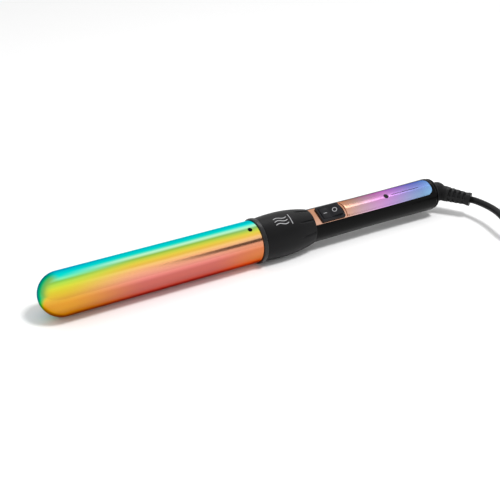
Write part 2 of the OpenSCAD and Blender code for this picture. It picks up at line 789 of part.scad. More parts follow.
module slip_rings() color("gold") on_wand() for (x = slip_x)
    pipe(slip_r, rotor_r, x - slip_w / 2, x + slip_w / 2);

module retaining_clip() color("silver") on_wand() difference() {
    pipe(clip_r, rotor_r - 0.6, clip_x, clip_x + clip_t);
    translate([0, 0, -clip_r]) block(clip_x - 1, clip_x + 2, 4, -1, clip_r - rotor_r + 2);
}

module elbow_pose() translate([elbow_x, 0, 0]) rotate([0, 90 + elbow_droop, -elbow_turn]) children();

module swivel_elbow() color("#1e1e1e") on_axis() difference() {
    union() {
        turned() {
            translate([0, handle_end + run_gap]) square([elbow_r, elbow_out - run_gap]);
            translate([0, elbow_x]) intersection() {
                circle(elbow_r);
                square(elbow_r);
            }
        }
        elbow_pose() cylinder(d = relief_d1, h = stub_len);
    }
    rod(rotor_r + fit_gap, handle_end - 1, rotor_end);
}

module strain_relief() color("#181818") on_axis() elbow_pose()
    translate([0, 0, stub_len]) {
        difference() {
            cylinder(d1 = relief_d1, d2 = relief_d2, h = relief_len);
            for (k = [0:relief_slots - 1])
                translate([0, 0, 2.4 + relief_pitch * k]) difference() {
                    cylinder(r = relief_d1, h = relief_slot_w);
                    translate([0, 0, -1])
                        cylinder(r = relief_d2 / 2 - relief_slot_depth, h = relief_slot_w + 2);
                    for (turn = [0, 90]) rotate(turn) translate([-relief_spine / 2, -relief_d1, -1])
                        cube([relief_spine, 2 * relief_d1, relief_slot_w + 2]);
                }
        }
        translate([0, 0, relief_len - flange_t]) cylinder(r = flange_r, h = flange_t);
    }

// ---------- cord and plug ----------
module cord_tube() color("#101010") on_cord()
    tube(concat([relief_end, relief_end + 2 * relief_dir], route), cord_r, tube_sides);

module cord_coil() color("#141414") on_cord() translate([coil_c.x, coil_c.y, 0])
    rotate_extrude($fn = 96) translate([coil_in, 0]) round_rect(coil_out - coil_in, coil_top, 2);

module cord_tail() color("#101010") on_cord() tube(tail, cord_r, tube_sides);

module cord_tie() color("dimgray") on_cord() translate([coil_c.x, coil_c.y, 0]) rotate(135)
    difference() {
        block(coil_in - tie_t, coil_out + tie_t, 6, 0, coil_top + tie_t);
        block(coil_in, coil_out, 8, tie_t, coil_top);
    }

module plug_body() color("#101010") on_cord() translate(plug_at) rotate([-90, 0, 0]) {
    cylinder(r1 = cord_r + 0.6, r2 = plug_t / 2 - 1.5, h = plug_relief_len);
    translate([-plug_w / 2, -plug_t / 2, plug_relief_len])
        linear_extrude(plug_len) round_rect(plug_w, plug_t, plug_round);
}

module plug_blades() color("silver") on_cord() translate(plug_at) for (side = [-1, 1])
    translate([side * blade_gap / 2 - blade_size.x / 2, plug_relief_len + plug_len, -blade_size.z / 2])
        cube(blade_size);

barrel();
barrel_screw();
heat_spreader_upper();
heat_spreader_lower();
heating_plates();
heater_electrodes();
heater_wrap();
spreader_springs();
thermistor();
thermal_fuse();
barrel_holder();
front_ring();
front_collar();
collar_screw();
handle_upper();
handle_lower();
handle_screws();
inlay_plate();
switch_housing();
switch_rocker();
rocker_marks();
switch_plunger();
plunger_spring();
contact_blade();
switch_terminals();
circuit_board();
board_screws();
triac();
film_capacitor();
resistors();
control_chip();
heater_leads();
sensor_leads();
mains_leads();
end_cap();
brush_carrier();
brush_springs();
swivel_rotor();
slip_rings();
retaining_clip();
swivel_elbow();
strain_relief();
cord_tube();
cord_coil();
cord_tail();
cord_tie();
plug_body();
plug_blades();
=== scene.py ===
"""Looks of the curling wand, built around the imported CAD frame.

The scene is in metres, in the row frame. The new pieces' outlines are written in millimetres and scaled
by MM, and their stations are counted from the front ring's face, with the barrel on the negative side.
"""

import json
import math

import bmesh
import bpy
from mathutils import Matrix, Vector

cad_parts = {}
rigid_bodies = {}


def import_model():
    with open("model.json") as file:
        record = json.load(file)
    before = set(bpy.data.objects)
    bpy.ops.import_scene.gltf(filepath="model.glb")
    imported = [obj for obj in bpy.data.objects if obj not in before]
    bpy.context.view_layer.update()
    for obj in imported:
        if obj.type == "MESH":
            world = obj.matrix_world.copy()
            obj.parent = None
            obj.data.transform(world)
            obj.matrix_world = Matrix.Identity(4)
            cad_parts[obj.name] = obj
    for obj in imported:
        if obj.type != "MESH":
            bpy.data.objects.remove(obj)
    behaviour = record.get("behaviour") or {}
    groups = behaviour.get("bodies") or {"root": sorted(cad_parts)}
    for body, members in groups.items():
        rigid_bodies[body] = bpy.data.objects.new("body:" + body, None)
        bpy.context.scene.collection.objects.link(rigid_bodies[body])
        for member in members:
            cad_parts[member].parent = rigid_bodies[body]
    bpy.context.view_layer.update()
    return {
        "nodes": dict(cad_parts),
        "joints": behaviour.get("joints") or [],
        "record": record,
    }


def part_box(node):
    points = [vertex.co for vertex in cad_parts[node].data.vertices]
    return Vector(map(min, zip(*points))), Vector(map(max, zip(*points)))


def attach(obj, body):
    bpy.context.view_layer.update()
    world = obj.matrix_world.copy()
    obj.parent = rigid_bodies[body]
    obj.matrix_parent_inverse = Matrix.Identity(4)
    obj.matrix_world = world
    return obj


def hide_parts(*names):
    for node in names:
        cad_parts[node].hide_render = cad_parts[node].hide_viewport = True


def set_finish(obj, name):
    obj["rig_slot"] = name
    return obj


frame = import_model()
MM = 0.001

# ---------- where the wand lies ----------
RING_LOW, RING_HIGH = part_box("front_ring")
RING_X = RING_LOW[0]
AXIS_H = (RING_LOW[2] + RING_HIGH[2]) / 2
TILT = next(joint for joint in frame["joints"] if joint["name"] == "rocker_tilt")
ROLL = math.atan2(TILT["axis"][2], TILT["axis"][1])
ON_AXIS = Matrix.Translation((RING_X, 0, AXIS_H))
ON_WAND = ON_AXIS @ Matrix.Rotation(ROLL, 4, "X")

BARREL_R = (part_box("barrel")[1][2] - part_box("barrel")[0][2]) / 2
TIP_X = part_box("barrel")[0][0]
DOME_X = TIP_X + BARREL_R
COLLAR_LOW, COLLAR_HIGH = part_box("front_collar")
COLLAR_X = COLLAR_LOW[0] - RING_X
COLLAR_END = COLLAR_HIGH[0] - RING_X

# ---------- camera ----------
CAMERA_FROM_RING = Vector((-0.3577, -0.5971, 0.3560))
CAMERA_TURN = 30.74
CAMERA_DIP = 27.53
LENS = 76.2

# ---------- cord, as routed in part.scad ----------
CORD_R = 0.00275
ELBOW = ON_AXIS @ Vector((0.1738, 0, 0))
ELBOW_TURN = 54
ELBOW_DROOP = 4
RELIEF_END = 0.0281
# Points that the cord runs through, in metres: x from the elbow, y from the wand, z from the table.
ROUTE = [
    (0.0178, -0.026, 0.0154), (0.0188, -0.031, 0.0155), (0.0192, -0.037, 0.0157),
    (0.0192, -0.043, 0.0158), (0.0184, -0.05, 0.0159), (0.0168, -0.057, 0.0158),
    (0.0148, -0.0645, 0.0152), (0.0132, -0.072, 0.014), (0.0128, -0.0795, 0.012),
    (0.0147, -0.087, 0.0096), (0.0195, -0.0936, 0.0072), (0.0269, -0.0981, 0.0052),
    (0.0352, -0.0999, 0.004), (0.0462, -0.10035, 0.0034), (0.0622, -0.10035, 0.0034),
]
TAIL = [
    (0.1065, -0.0935, 0.0072), (0.114, -0.0871, 0.0062), (0.1196, -0.0793, 0.005),
    (0.123, -0.0699, 0.0042), (0.1244, -0.06, 0.0046), (0.1246, -0.053, 0.0063),
    (0.1246, -0.05, 0.0065), (0.1246, -0.048, 0.0065),
]
COIL_CENTRE = (0.0784, -0.0601)
COIL_OUTER = 0.04025
COIL_PITCH = 0.0055
COIL_ROWS = 4
LAYER_HEIGHTS = (0.0034, 0.0089)
STEP_START = 0.55
STEP_SHARE = 0.2
TURN_POINTS = 36
PATH_STEP = 0.0025
CORD_OVERLAP = 0.002


def smooth(t):
    """Runs from 0 to 1 as t does, level at both ends and beyond them."""
    t = min(1.0, max(0.0, t))
    return t * t * (3 - 2 * t)


def from_elbow(point):
    """A point of the cord, its x counted from the elbow, in the row frame."""
    return Vector((ELBOW.x + point[0], point[1], point[2]))


def coil_point(degrees, radius, height):
    """A point of the coil, its angle counted from +x about the coil's centre."""
    angle = math.radians(degrees)
    x = COIL_CENTRE[0] + radius * math.cos(angle)
    return from_elbow((x, COIL_CENTRE[1] + radius * math.sin(angle), height))


def coil_points():
    """Four turns inwards on the surface, four outwards on top of them, then off towards the plug."""
    points = []
    for layer, height in enumerate(LAYER_HEIGHTS):
        for turn in range(COIL_ROWS):
            row = turn if layer == 0 else COIL_ROWS - 1 - turn
            for k in range(TURN_POINTS):
                share = k / TURN_POINTS
                step = smooth((share - STEP_START) / STEP_SHARE)
                last = turn == COIL_ROWS - 1
                inward = 0 if last else step * (1 if layer == 0 else -1)
                rise = step * (LAYER_HEIGHTS[1] - LAYER_HEIGHTS[0]) if last and layer == 0 else 0
                radius = COIL_OUTER - COIL_PITCH * (row + inward)
                points.append(coil_point(-90 + 360 * share, radius, height + rise))
    points.append(coil_point(-90, COIL_OUTER, LAYER_HEIGHTS[1]))
    points.append(coil_point(-78, COIL_OUTER + 0.0008, LAYER_HEIGHTS[1] - 0.0002))
    points.append(coil_point(-64, COIL_OUTER + 0.0022, LAYER_HEIGHTS[1] - 0.0009))
    return points


def curve_through(points):
    """Points of a smooth curve through the given ones, about one path step apart."""
    fine = []
    for i in range(len(points) - 1):
        p0, p1, p2, p3 = (points[min(max(j, 0), len(points) - 1)] for j in range(i - 1, i + 3))
        steps = max(1, round((p2 - p1).length / PATH_STEP))
        for k in range(steps):
            t = k / steps
            fine.append(0.5 * (
                2 * p1 + (p2 - p0) * t
                + (2 * p0 - 5 * p1 + 4 * p2 - p3) * t ** 2
                + (3 * p1 - p0 - 3 * p2 + p3) * t ** 3
            ))
    return fine + [points[-1]]


# ---------- meshes ----------
WELD = 0.002 * MM
BEVEL_FROM = 32
SHARP_FROM = 40


def added(name, data):
    """A new object in the scene."""
    obj = bpy.data.objects.new(name, data)
    bpy.context.scene.collection.objects.link(obj)
    return obj


def piece(name, verts, faces, body, replaced=(), place=ON_WAND, sharp=35):
    """A mesh piece in the row frame that rides on a body and stands for the CAD nodes named."""
    mesh = bpy.data.meshes.new(name)
    mesh.from_pydata([place @ Vector(v) for v in verts], [], faces)
    obj = added(name, mesh)
    clean(mesh, sharp)
    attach(obj, body)
    if replaced:
        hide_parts(*replaced)
    return obj


def clean(mesh, sharp):
    """Closes doubled points, turns the faces outwards and shades smooth up to the sharp angle."""
    work = bmesh.new()
    work.from_mesh(mesh)
    bmesh.ops.remove_doubles(work, verts=work.verts, dist=WELD)
    bmesh.ops.dissolve_degenerate(work, edges=work.edges, dist=WELD)
    bmesh.ops.recalc_face_normals(work, faces=work.faces)
    work.to_mesh(mesh)
    work.free()
    mesh.shade_smooth()
    mesh.set_sharp_from_angle(angle=math.radians(sharp))


def rings_mesh(rings, closed=False, caps=True):
    """Vertices and faces of a skin over rings of equally many points."""
    verts = [point for ring in rings for point in ring]
    count = len(rings[0])
    faces = []
    for i in range(len(rings) if closed else len(rings) - 1):
        j = (i + 1) % len(rings)
        for k in range(count):
            n = (k + 1) % count
            faces.append((i * count + k, i * count + n, j * count + n, j * count + k))
    if caps and not closed:
        faces.append(tuple(range(count))[::-1])
        faces.append(tuple(range(len(verts) - count, len(verts))))
    return verts, faces


def lathe(profile, steps, radius_at=None):
    """A closed outline of (station, radius) turned about the axis; radius_at may alter a point's radius."""
    rings = []
    for station, radius in profile:
        ring = []
        for k in range(steps):
            angle = 2 * math.pi * k / steps
            r = radius_at(station, radius, angle) if radius_at else radius
            ring.append((station * MM, -r * MM * math.sin(angle), r * MM * math.cos(angle)))
        rings.append(ring)
    return rings_mesh(rings, closed=True)


def arc(centre, radius, start, end, steps):
    """Points (station, radius) on an arc, its angles counted from the outward direction towards the rear."""
    return [
        (centre[0] + radius * math.sin(math.radians(start + (end - start) * k / steps)),
         centre[1] + radius * math.cos(math.radians(start + (end - start) * k / steps)))
        for k in range(steps + 1)
    ]


def softened(name, node, body, width, segments):
    """A CAD node's own shape with its edges rounded over, as moulding and deburring leave them."""
    source = frame["nodes"][node]
    copy = source.data.copy()
    copy.transform(source.matrix_world)
    work = bmesh.new()
    work.from_mesh(copy)
    bpy.data.meshes.remove(copy)
    bmesh.ops.remove_doubles(work, verts=work.verts, dist=0.01 * MM)
    bmesh.ops.dissolve_limit(
        work, angle_limit=math.radians(1.5), verts=work.verts, edges=work.edges
    )
    mesh = bpy.data.meshes.new(name)
    work.to_mesh(mesh)
    work.free()
    obj = added(name, mesh)
    bevel = obj.modifiers.new("edges", "BEVEL")
    bevel.width = width * MM
    bevel.segments = segments
    bevel.limit_method = "ANGLE"
    bevel.angle_limit = math.radians(BEVEL_FROM)
    bevel.use_clamp_overlap = True
    bevel.harden_normals = False
    bake(obj)
    clean(obj.data, SHARP_FROM)
    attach(obj, body)
    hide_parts(node)
    return obj


def bake(obj):
    """Puts the result of an object's modifiers into its mesh."""
    shown = obj.evaluated_get(bpy.context.evaluated_depsgraph_get())
    result = bpy.data.meshes.new_from_object(shown)
    obj.modifiers.clear()
    obj.data = result


# ---------- node helpers ----------
def linear(code):
    """A colour written as six hexadecimal digits, as linear light with alpha."""
    parts = [int(code[i:i + 2], 16) / 255 for i in (0, 2, 4)]
    return [c / 12.92 if c <= 0.04045 else ((c + 0.055) / 1.055) ** 2.4 for c in parts] + [1]


class Tree:
    """A material under construction: each method adds a node and gives back its output."""

    def __init__(self, name, **shader):
        self.material = bpy.data.materials.new(name)
        self.material.use_nodes = True
        self.nodes = self.material.node_tree.nodes
        self.links = self.material.node_tree.links
        self.shader = self.nodes["Principled BSDF"]
        self.feed(self.shader, {key.replace("_", " "): value for key, value in shader.items()})

    def feed(self, node, inputs):
        for key, value in inputs.items():
            if isinstance(value, bpy.types.NodeSocket):
                self.links.new(value, node.inputs[key])
            else:
                node.inputs[key].default_value = value

    def add(self, kind, inputs, output=0, **settings):
        node = self.nodes.new(kind)
        for key, value in settings.items():
            setattr(node, key, value)
        self.feed(node, inputs)
        return node.outputs[output]

    def maths(self, operation, *values, clamp=False):
        inputs = dict(enumerate(values))
        return self.add("ShaderNodeMath", inputs, operation=operation, use_clamp=clamp)

    def span(self, value, low, high, to_low=0.0, to_high=1.0, kind="SMOOTHSTEP"):
        inputs = {0: value, 1: low, 2: high, 3: to_low, 4: to_high}
        return self.add("ShaderNodeMapRange", inputs, interpolation_type=kind)

    def mix(self, share, a, b):
        return self.add("ShaderNodeMix", {0: share, 6: a, 7: b}, 2, data_type="RGBA")

    def ramp(self, value, stops):
        self.add("ShaderNodeValToRGB", {0: value})
        node = self.nodes[-1]
        elements = node.color_ramp.elements
        while len(elements) > 1:
            elements.remove(elements[-1])
        for i, (place, colour) in enumerate(stops):
            element = elements[0] if i == 0 else elements.new(place)
            element.position = place
            element.color = linear(colour)
        return node.outputs[0]

    def place(self, frame_matrix=None):
        """The point's place in metres: in the row frame, or in the frame whose matrix is given."""
        coords = self.add("ShaderNodeTexCoord", {}, 3)
        if frame_matrix is None:
            return coords
        spot, turn, _ = frame_matrix.decompose()
        inputs = {"Vector": coords, "Location": spot, "Rotation": turn.to_euler()}
        return self.add("ShaderNodeMapping", inputs, vector_type="TEXTURE")

    def stretched(self, coords, scale):
        return self.add("ShaderNodeMapping", {"Vector": coords, "Scale": scale})

    def axes(self, coords):
        self.add("ShaderNodeSeparateXYZ", {0: coords})
        return self.nodes[-1].outputs

    def noise(self, coords, scale, detail=3.0, roughness=0.5):
        inputs = {"Vector": coords, "Scale": scale, "Detail": detail, "Roughness": roughness}
        return self.add("ShaderNodeTexNoise", inputs)

    def bump(self, height, depth):
        inputs = {"Height": height, "Distance": depth}
        self.feed(self.shader, {"Normal": self.add("ShaderNodeBump", inputs)})


# ---------- materials ----------
# Colours across the barrel, from its far upper side to its near lower one: halfway along, by the dome and by
# the ring.
# They are the coating's own colours laid by the angle to the camera's view, so the shift of colour with that
# angle is a painted sheen, and the pale stop at 0.15 (0.20 by the dome) is a painted highlight of a soft
# box. The rim's colours close round the dome, painted by how far the dome turns away from the camera.
BARREL_MID = [
    (0.00, "27cbd2"), (0.05, "12d4d6"), (0.10, "39e1c8"), (0.15, "c3f8cd"), (0.20, "92bf4c"),
    (0.25, "c4d349"), (0.30, "e9d048"), (0.35, "ecbd4d"), (0.40, "fcc97a"), (0.45, "fbb67e"),
    (0.52, "fcaf8a"), (0.60, "eb9783"), (0.66, "da7f76"), (0.72, "bf665e"), (0.80, "c0675d"),
    (0.88, "bc6860"), (0.95, "c4675e"), (1.00, "d0706a"),
]
BARREL_TIP = [
    (0.00, "27b0d0"), (0.05, "1fc5d5"), (0.10, "04dbd7"), (0.15, "11e4ce"), (0.20, "80f5bb"),
    (0.25, "85cc56"), (0.30, "b7e450"), (0.38, "dde140"), (0.46, "e3ce3a"), (0.54, "e5bf3c"),
    (0.62, "dda83d"), (0.72, "d59433"), (0.82, "d19331"), (0.90, "c38432"), (1.00, "bb7f30"),
]
BARREL_REAR = [
    (0.00, "36d2df"), (0.05, "14ccd4"), (0.10, "41e8de"), (0.15, "b6fbd0"), (0.20, "8cbe6c"),
    (0.25, "b4d150"), (0.30, "e3d44c"), (0.36, "f2c553"), (0.41, "fcc97f"), (0.47, "f3b787"),
    (0.54, "ec9f7c"), (0.62, "e5946e"), (0.70, "c8744c"), (0.80, "d07a4a"), (0.88, "ce7a46"),
    (0.95, "dc7450"), (1.00, "e88460"),
]
BARREL_RIM = [
    (0.00, "b4c848"), (0.25, "86bb55"), (0.50, "45ba70"), (0.68, "18ab85"), (0.85, "0a9d9c"),
    (1.00, "1a8fa6"),
]
VIEW_TURN = 59.2
BAND_STREAK = 0.022
BAND_WAVER = 0.03
TIP_BLEND = (-92, -156)
REAR_BLEND = (-45, -3)
RIM_LEAN = 2.3
RIM_SPAN = (0.1, 0.78)
RIM_CLOSING = (0.05, 0.32)
DOME_CLOSING = (0.04, 0.5)
DOME_TO_CAMERA = (-0.285, -0.824, 0.491)


def barrel_coating():
    """Polished coating whose colours run in bands along the barrel and close round its dome; the bands
    follow the camera's view, a painted sheen with a painted highlight line.
    """
    tree = Tree("barrel_coating", Metallic=1.0)
    coords = tree.place(ON_AXIS)
    x = tree.axes(coords)[0]
    turn = math.radians(VIEW_TURN)
    # painted sheen: the band runs across the barrel by the angle from the camera's view
    across = tree.add(
        "ShaderNodeVectorMath",
        {0: coords, 1: (0, -math.cos(turn) / BARREL_R, -math.sin(turn) / BARREL_R)},
        1, operation="DOT_PRODUCT",
    )
    streaks = tree.noise(tree.stretched(coords, (6, 700, 700)), 1.0, 4.0, 0.6)
    waver = tree.noise(tree.stretched(coords, (14, 40, 40)), 1.0, 1.0)
    band = tree.maths("MULTIPLY_ADD", across, 0.5, 0.5)
    band = tree.maths("MULTIPLY_ADD", tree.maths("SUBTRACT", streaks, 0.5), BAND_STREAK, band)
    band = tree.maths("MULTIPLY_ADD", tree.maths("SUBTRACT", waver, 0.5), BAND_WAVER, band, clamp=True)
    to_tip = tree.span(x, TIP_BLEND[1] * MM, TIP_BLEND[0] * MM, 1.0, 0.0)
    to_rear = tree.span(x, REAR_BLEND[0] * MM, REAR_BLEND[1] * MM)
    body = tree.mix(to_tip, tree.ramp(band, BARREL_MID), tree.ramp(band, BARREL_TIP))
    body = tree.mix(to_rear, body, tree.ramp(band, BARREL_REAR))
    dome = tree.maths("SUBTRACT", (DOME_X - RING_X) / BARREL_R, tree.maths("DIVIDE", x, BARREL_R))
    # painted sheen: the dome's rim colour grows as the dome turns away from the camera
    from_centre = tree.add(
        "ShaderNodeVectorMath", {0: coords, 1: (DOME_X - RING_X, 0, 0)}, operation="SUBTRACT",
    )
    facing_camera = tree.add(
        "ShaderNodeVectorMath", {0: from_centre, 1: tuple(c / BARREL_R for c in DOME_TO_CAMERA)}, 1,
        operation="DOT_PRODUCT",
    )
    under = tree.maths("MAXIMUM", tree.maths("SUBTRACT", band, 0.5), 0.0)
    away = tree.maths("MULTIPLY_ADD", under, -RIM_LEAN, tree.maths("SUBTRACT", 1.0, facing_camera))
    rim = tree.span(away, *RIM_SPAN, kind="LINEAR")
    closing = tree.maths("MULTIPLY", tree.span(away, *RIM_CLOSING), tree.span(dome, *DOME_CLOSING))
    colour = tree.mix(closing, body, tree.ramp(rim, BARREL_RIM))
    tree.feed(tree.shader, {
        "Base Color": colour,
        "Specular Tint": colour,
        "Roughness": tree.span(streaks, 0.3, 0.7, 0.15, 0.22, "LINEAR"),
    })
    tree.bump(streaks, 0.004 * MM)
    return tree.material


def moulded(name, dark, light, roughness, specular, grain=0.02, grain_size=0.35, smudge=0.06):
    """Moulded plastic or rubber: fine spark-eroded grain, faint clouds of tone and handling marks."""
    tree = Tree(name, Specular_IOR_Level=specular)
    coords = tree.place()
    clouds = tree.noise(coords, 45, 3.0)
    marks = tree.noise(tree.stretched(coords, (60, 260, 260)), 1.0, 4.0, 0.65)
    grains = tree.noise(coords, 1 / (grain_size * MM), 2.0)
    tone = tree.span(clouds, 0.3, 0.7, kind="LINEAR")
    tree.feed(tree.shader, {
        "Base Color": tree.mix(tone, linear(dark), linear(light)),
        "Roughness": tree.span(marks, 0.35, 0.65, roughness - smudge, roughness + smudge, "LINEAR"),
    })
    tree.bump(grains, grain * MM)
    return tree.material


def metal(name, dark, light, roughness):
    """Bare or plated metal with fine lines along the wand."""
    tree = Tree(name, Metallic=1.0)
    coords = tree.place()
    lines = tree.noise(tree.stretched(coords, (30, 900, 900)), 1.0, 4.0, 0.6)
    clouds = tree.noise(coords, 90, 3.0)
    tree.feed(tree.shader, {
        "Base Color": tree.mix(tree.span(clouds, 0.3, 0.7, kind="LINEAR"), linear(dark), linear(light)),
        "Roughness": tree.span(lines, 0.3, 0.7, roughness * 0.75, roughness * 1.25, "LINEAR"),
    })
    tree.bump(lines, 0.004 * MM)
    return tree.material


# Colours along the plate: its own anodised colours on its far side, and on its near side, towards the
# camera, the same painted lighter as a painted sheen.
INLAY_ALONG = [
    (0.00, "ca9577"), (0.14, "b8958c"), (0.26, "b98fa6"), (0.38, "c184b6"), (0.48, "c688c8"),
    (0.58, "b484cc"), (0.68, "a086c9"), (0.78, "8887cb"), (0.88, "7c8bcc"), (1.00, "78a0da"),
]
INLAY_NEAR_SHEEN = [
    (0.00, "dcab93"), (0.14, "d0aab2"), (0.26, "cfa6c4"), (0.38, "d19dd3"), (0.48, "c59ad6"),
    (0.58, "b69dd2"), (0.68, "a5a3d3"), (0.78, "95a8d2"), (0.88, "88abd2"), (1.00, "8cc0ea"),
]
POCKET_END = 77.8
INLAY_END = 161.0
INLAY_HALF = 7.8


def inlay_finish():
    """Polished metal plate whose anodised colour runs from copper by the switch to blue at the rear; its
    near side is painted lighter, a painted sheen.
    """
    tree = Tree("inlay_finish", Metallic=1.0)
    coords = tree.place(ON_WAND)
    x, y, _ = tree.axes(coords)
    streaks = tree.noise(tree.stretched(coords, (8, 900, 900)), 1.0, 4.0, 0.6)
    along = tree.span(x, POCKET_END * MM, INLAY_END * MM, kind="LINEAR")
    along = tree.maths("MULTIPLY_ADD", tree.maths("SUBTRACT", streaks, 0.5), 0.03, along, clamp=True)
    # painted sheen: the near side, turned towards the camera, takes the lighter colours
    side = tree.span(y, 2 * MM, -INLAY_HALF * MM)
    colour = tree.mix(side, tree.ramp(along, INLAY_ALONG), tree.ramp(along, INLAY_NEAR_SHEEN))
    tree.feed(tree.shader, {
        "Base Color": colour,
        "Specular Tint": colour,
        "Roughness": tree.span(streaks, 0.3, 0.7, 0.16, 0.22, "LINEAR"),
    })
    tree.bump(streaks, 0.003 * MM)
    return tree.material


def green_board():
    """Circuit board: green lacquer over copper tracks, seen as paler straight runs."""
    tree = Tree("green_board", Roughness=0.35)
    coords = tree.place(ON_WAND)
    cells = tree.add(
        "ShaderNodeTexVoronoi", {"Vector": coords, "Scale": 380}, distance="CHEBYCHEV",
        feature="DISTANCE_TO_EDGE",
    )
    tracks = tree.span(cells, 0.1, 0.16)
    tree.feed(tree.shader, {
        "Base Color": tree.mix(tracks, linear("2f8a4a"), linear("14592a")),
    })
    tree.bump(tracks, 0.02 * MM)
    return tree.material


def insulation(name, dark, light):
    """Silicone or PVC insulation of an inner lead, slightly waxy and dusted."""
    tree = Tree(name, Specular_IOR_Level=0.4)
    coords = tree.place()
    clouds = tree.noise(coords, 160, 3.0)
    tree.feed(tree.shader, {
        "Base Color": tree.mix(clouds, linear(dark), linear(light)),
        "Roughness": tree.span(clouds, 0.3, 0.7, 0.35, 0.5, "LINEAR"),
    })
    tree.bump(tree.noise(coords, 2500), 0.01 * MM)
    return tree.material


def make_materials():
    """The finish of each material slot in the record."""
    return {
        "barrel_coating": barrel_coating(),
        "satin_black": moulded(
            "satin_black", "0c0c0d", "111112", 0.45, 0.13, grain_size=0.3, smudge=0.03
        ),
        "gloss_black": moulded(
            "gloss_black", "050505", "080808", 0.24, 0.07, grain=0.002, grain_size=0.8, smudge=0.015
        ),
        "inlay": inlay_finish(),
        "switch_black": moulded("switch_black", "17171a", "1d1d20", 0.4, 0.16, grain_size=0.25),
        "mark_white": moulded("mark_white", "a0a0a2", "b2b2b4", 0.5, 0.3, grain=0.01),
        "steel": metal("steel", "a4a4a8", "bcbcc0", 0.3),
        "black_steel": metal("black_steel", "141415", "1e1e20", 0.35),
        "aluminium": metal("aluminium", "b4b6b8", "c8cacc", 0.35),
        "ceramic": moulded("ceramic", "3a3a3c", "4a4a4c", 0.7, 0.4, grain=0.03, grain_size=0.2),
        "brass": metal("brass", "b99248", "cda75c", 0.28),
        "film": insulation("film", "a45c10", "c07a24"),
        "holder": moulded("holder", "bdb199", "cdc2ac", 0.55, 0.4, grain=0.03),
        "board": green_board(),
        "component_black": moulded("component_black", "131314", "1a1a1b", 0.3, 0.32, grain=0.005),
        "component_yellow": moulded("component_yellow", "b99a20", "ccae34", 0.4, 0.4),
        "component_tan": moulded("component_tan", "a98458", "c09c6c", 0.4, 0.4),
        "lead_red": insulation("lead_red", "7c1410", "96201a"),
        "lead_white": insulation("lead_white", "d2d2ca", "e2e2dc"),
        "lead_blue": insulation("lead_blue", "12245c", "1c3478"),
        "rubber_black": moulded("rubber_black", "0a0a0b", "101011", 0.4, 0.2, grain=0.015, grain_size=0.4),
        "tie": moulded("tie", "1c1c1d", "2a2a2b", 0.6, 0.25, grain=0.05, grain_size=0.5),
    }


# ---------- pieces on the cord ----------
def make_cord():
    """The mains cord in one run: from the strain relief down to the coil, its turns, and on to the plug."""
    turn, droop = math.radians(ELBOW_TURN), math.radians(ELBOW_DROOP)
    heading = Vector((
        math.cos(turn) * math.cos(droop), -math.sin(turn) * math.cos(droop), -math.sin(droop)
    ))
    exit_point = ELBOW + RELIEF_END * heading
    start = [exit_point - CORD_OVERLAP * heading, exit_point + CORD_OVERLAP * heading]
    points = start + [from_elbow(p) for p in ROUTE] + coil_points() + [from_elbow(p) for p in TAIL]
    points.append(from_elbow((TAIL[-1][0], TAIL[-1][1] + CORD_OVERLAP, TAIL[-1][2])))
    path = curve_through(points)
    curve = bpy.data.curves.new("mains_cord", "CURVE")
    curve.dimensions = "3D"
    spline = curve.splines.new("POLY")
    spline.points.add(len(path) - 1)
    for spot, point in zip(spline.points, path):
        spot.co = (*point, 1)
        spot.radius = CORD_R
    # The points carry the cord's own radius, so the curve's bound box is no bigger than the cord.
    curve.bevel_depth = 1
    curve.bevel_resolution = 5
    curve.use_fill_caps = True
    obj = added("mains_cord", curve)
    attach(obj, "cord")
    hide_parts("cord_tube", "cord_coil", "cord_tail")
    length = sum((b - a).length for a, b in zip(path, path[1:]))
    return obj, exit_point, length


def superellipse(half_w, half_h, power, count):
    """Points (across, up) of an outline that goes from round at power 2 towards a rectangle."""
    outline = []
    for k in range(count):
        angle = 2 * math.pi * k / count
        c, s = math.cos(angle), math.sin(angle)
        outline.append((
            half_w * math.copysign(abs(c) ** (2 / power), c),
            half_h * math.copysign(abs(s) ** (2 / power), s),
        ))
    return outline


def loft(sections):
    """A skin over superellipses (station, half width, half height, power) along +y."""
    rings = []
    for station, wide, high, power in sections:
        outline = superellipse(wide * MM, high * MM, power, 48)
        rings.append([(u, station * MM, v) for u, v in outline])
    return rings_mesh(rings)


PLUG_RELIEF = 20
PLUG_LENGTH = 28
PLUG_HALF_W = 11
PLUG_HALF_T = 6.5
RELIEF_RIBS = 5


